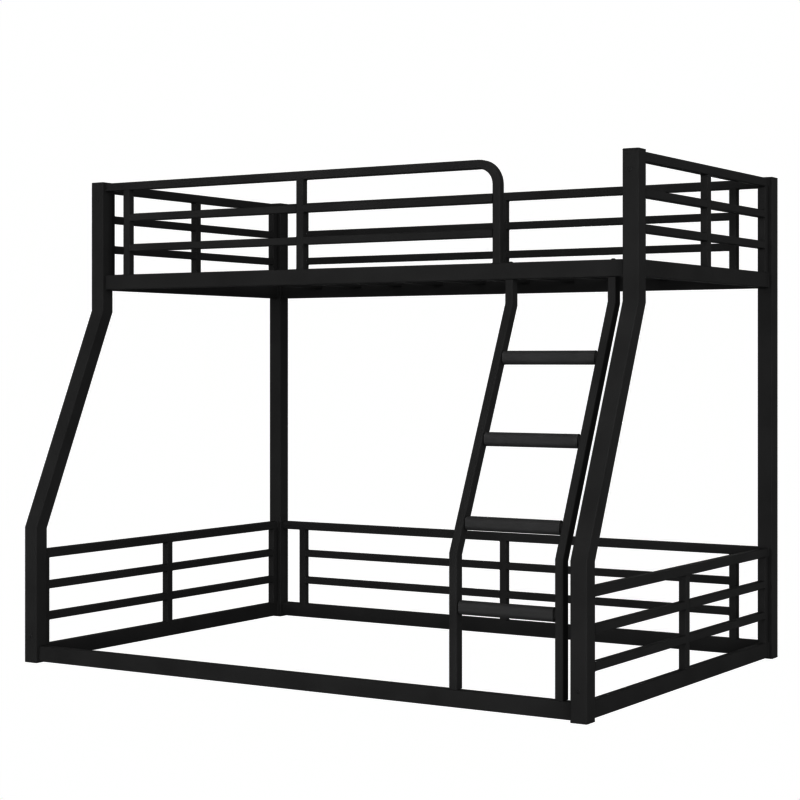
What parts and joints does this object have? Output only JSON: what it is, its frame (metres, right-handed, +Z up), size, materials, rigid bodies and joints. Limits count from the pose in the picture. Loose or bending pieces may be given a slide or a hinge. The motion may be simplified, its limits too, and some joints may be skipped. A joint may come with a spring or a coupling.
{
  "type": "bunk bed with ladder",
  "caption": "Steel tube bunk bed frame: a slatted upper bunk over a wider floor-level bunk, with bent front posts, tube guard fences and a fixed leaning ladder",
  "frame": {"origin": "centre of the overall box in plan, on the floor", "axes": "+X along the bed towards the ladder end, +Y from the ladder side to the wall side, +Z up"},
  "size_m": [2, 1.3954, 1.561],
  "materials": {
    "frame": "satin black powder coat",
    "sleeve": "dark grey grip sleeve",
    "plastic": "matt black moulded plastic",
    "bolt": "black zinc"
  },
  "bodies": {
    "root": {"guard_infill": "frame", "guard_top_tube": "frame", "ladder_bolt_left": "bolt", "ladder_bolt_right": "bolt", "ladder_stile_left": "frame", "ladder_stile_right": "frame", "lower_end_infill_left": "frame", "lower_end_infill_right": "frame", "lower_end_rail_left": "frame", "lower_end_rail_right": "frame", "lower_end_top_rail_left": "frame", "lower_end_top_rail_right": "frame", "lower_rear_infill": "frame", "lower_rear_top_rail": "frame", "lower_side_rail_front": "frame", "lower_side_rail_rear": "frame", "post_bolt_left_1": "bolt", "post_bolt_left_2": "bolt", "post_bolt_right_1": "bolt", "post_bolt_right_2": "bolt", "post_cap_front_left": "plastic", "post_cap_front_right": "plastic", "post_cap_rear_left": "plastic", "post_cap_rear_right": "plastic", "post_foot_front_left": "plastic", "post_foot_front_right": "plastic", "post_foot_rear_left": "plastic", "post_foot_rear_right": "plastic", "post_front_left": "frame", "post_front_right": "frame", "post_rear_left": "frame", "post_rear_right": "frame", "rung_1": "frame", "rung_2": "frame", "rung_3": "frame", "rung_4": "frame", "rung_sleeve_1": "sleeve", "rung_sleeve_2": "sleeve", "rung_sleeve_3": "sleeve", "rung_sleeve_4": "sleeve", "slat_1": "frame", "slat_10": "frame", "slat_2": "frame", "slat_3": "frame", "slat_4": "frame", "slat_5": "frame", "slat_6": "frame", "slat_7": "frame", "slat_8": "frame", "slat_9": "frame", "upper_end_infill_left": "frame", "upper_end_infill_right": "frame", "upper_end_rail_left": "frame", "upper_end_rail_right": "frame", "upper_end_top_rail_left": "frame", "upper_end_top_rail_right": "frame", "upper_rear_infill": "frame", "upper_rear_top_rail": "frame", "upper_side_rail_front": "frame", "upper_side_rail_rear": "frame"}
  },
  "joints": []
}
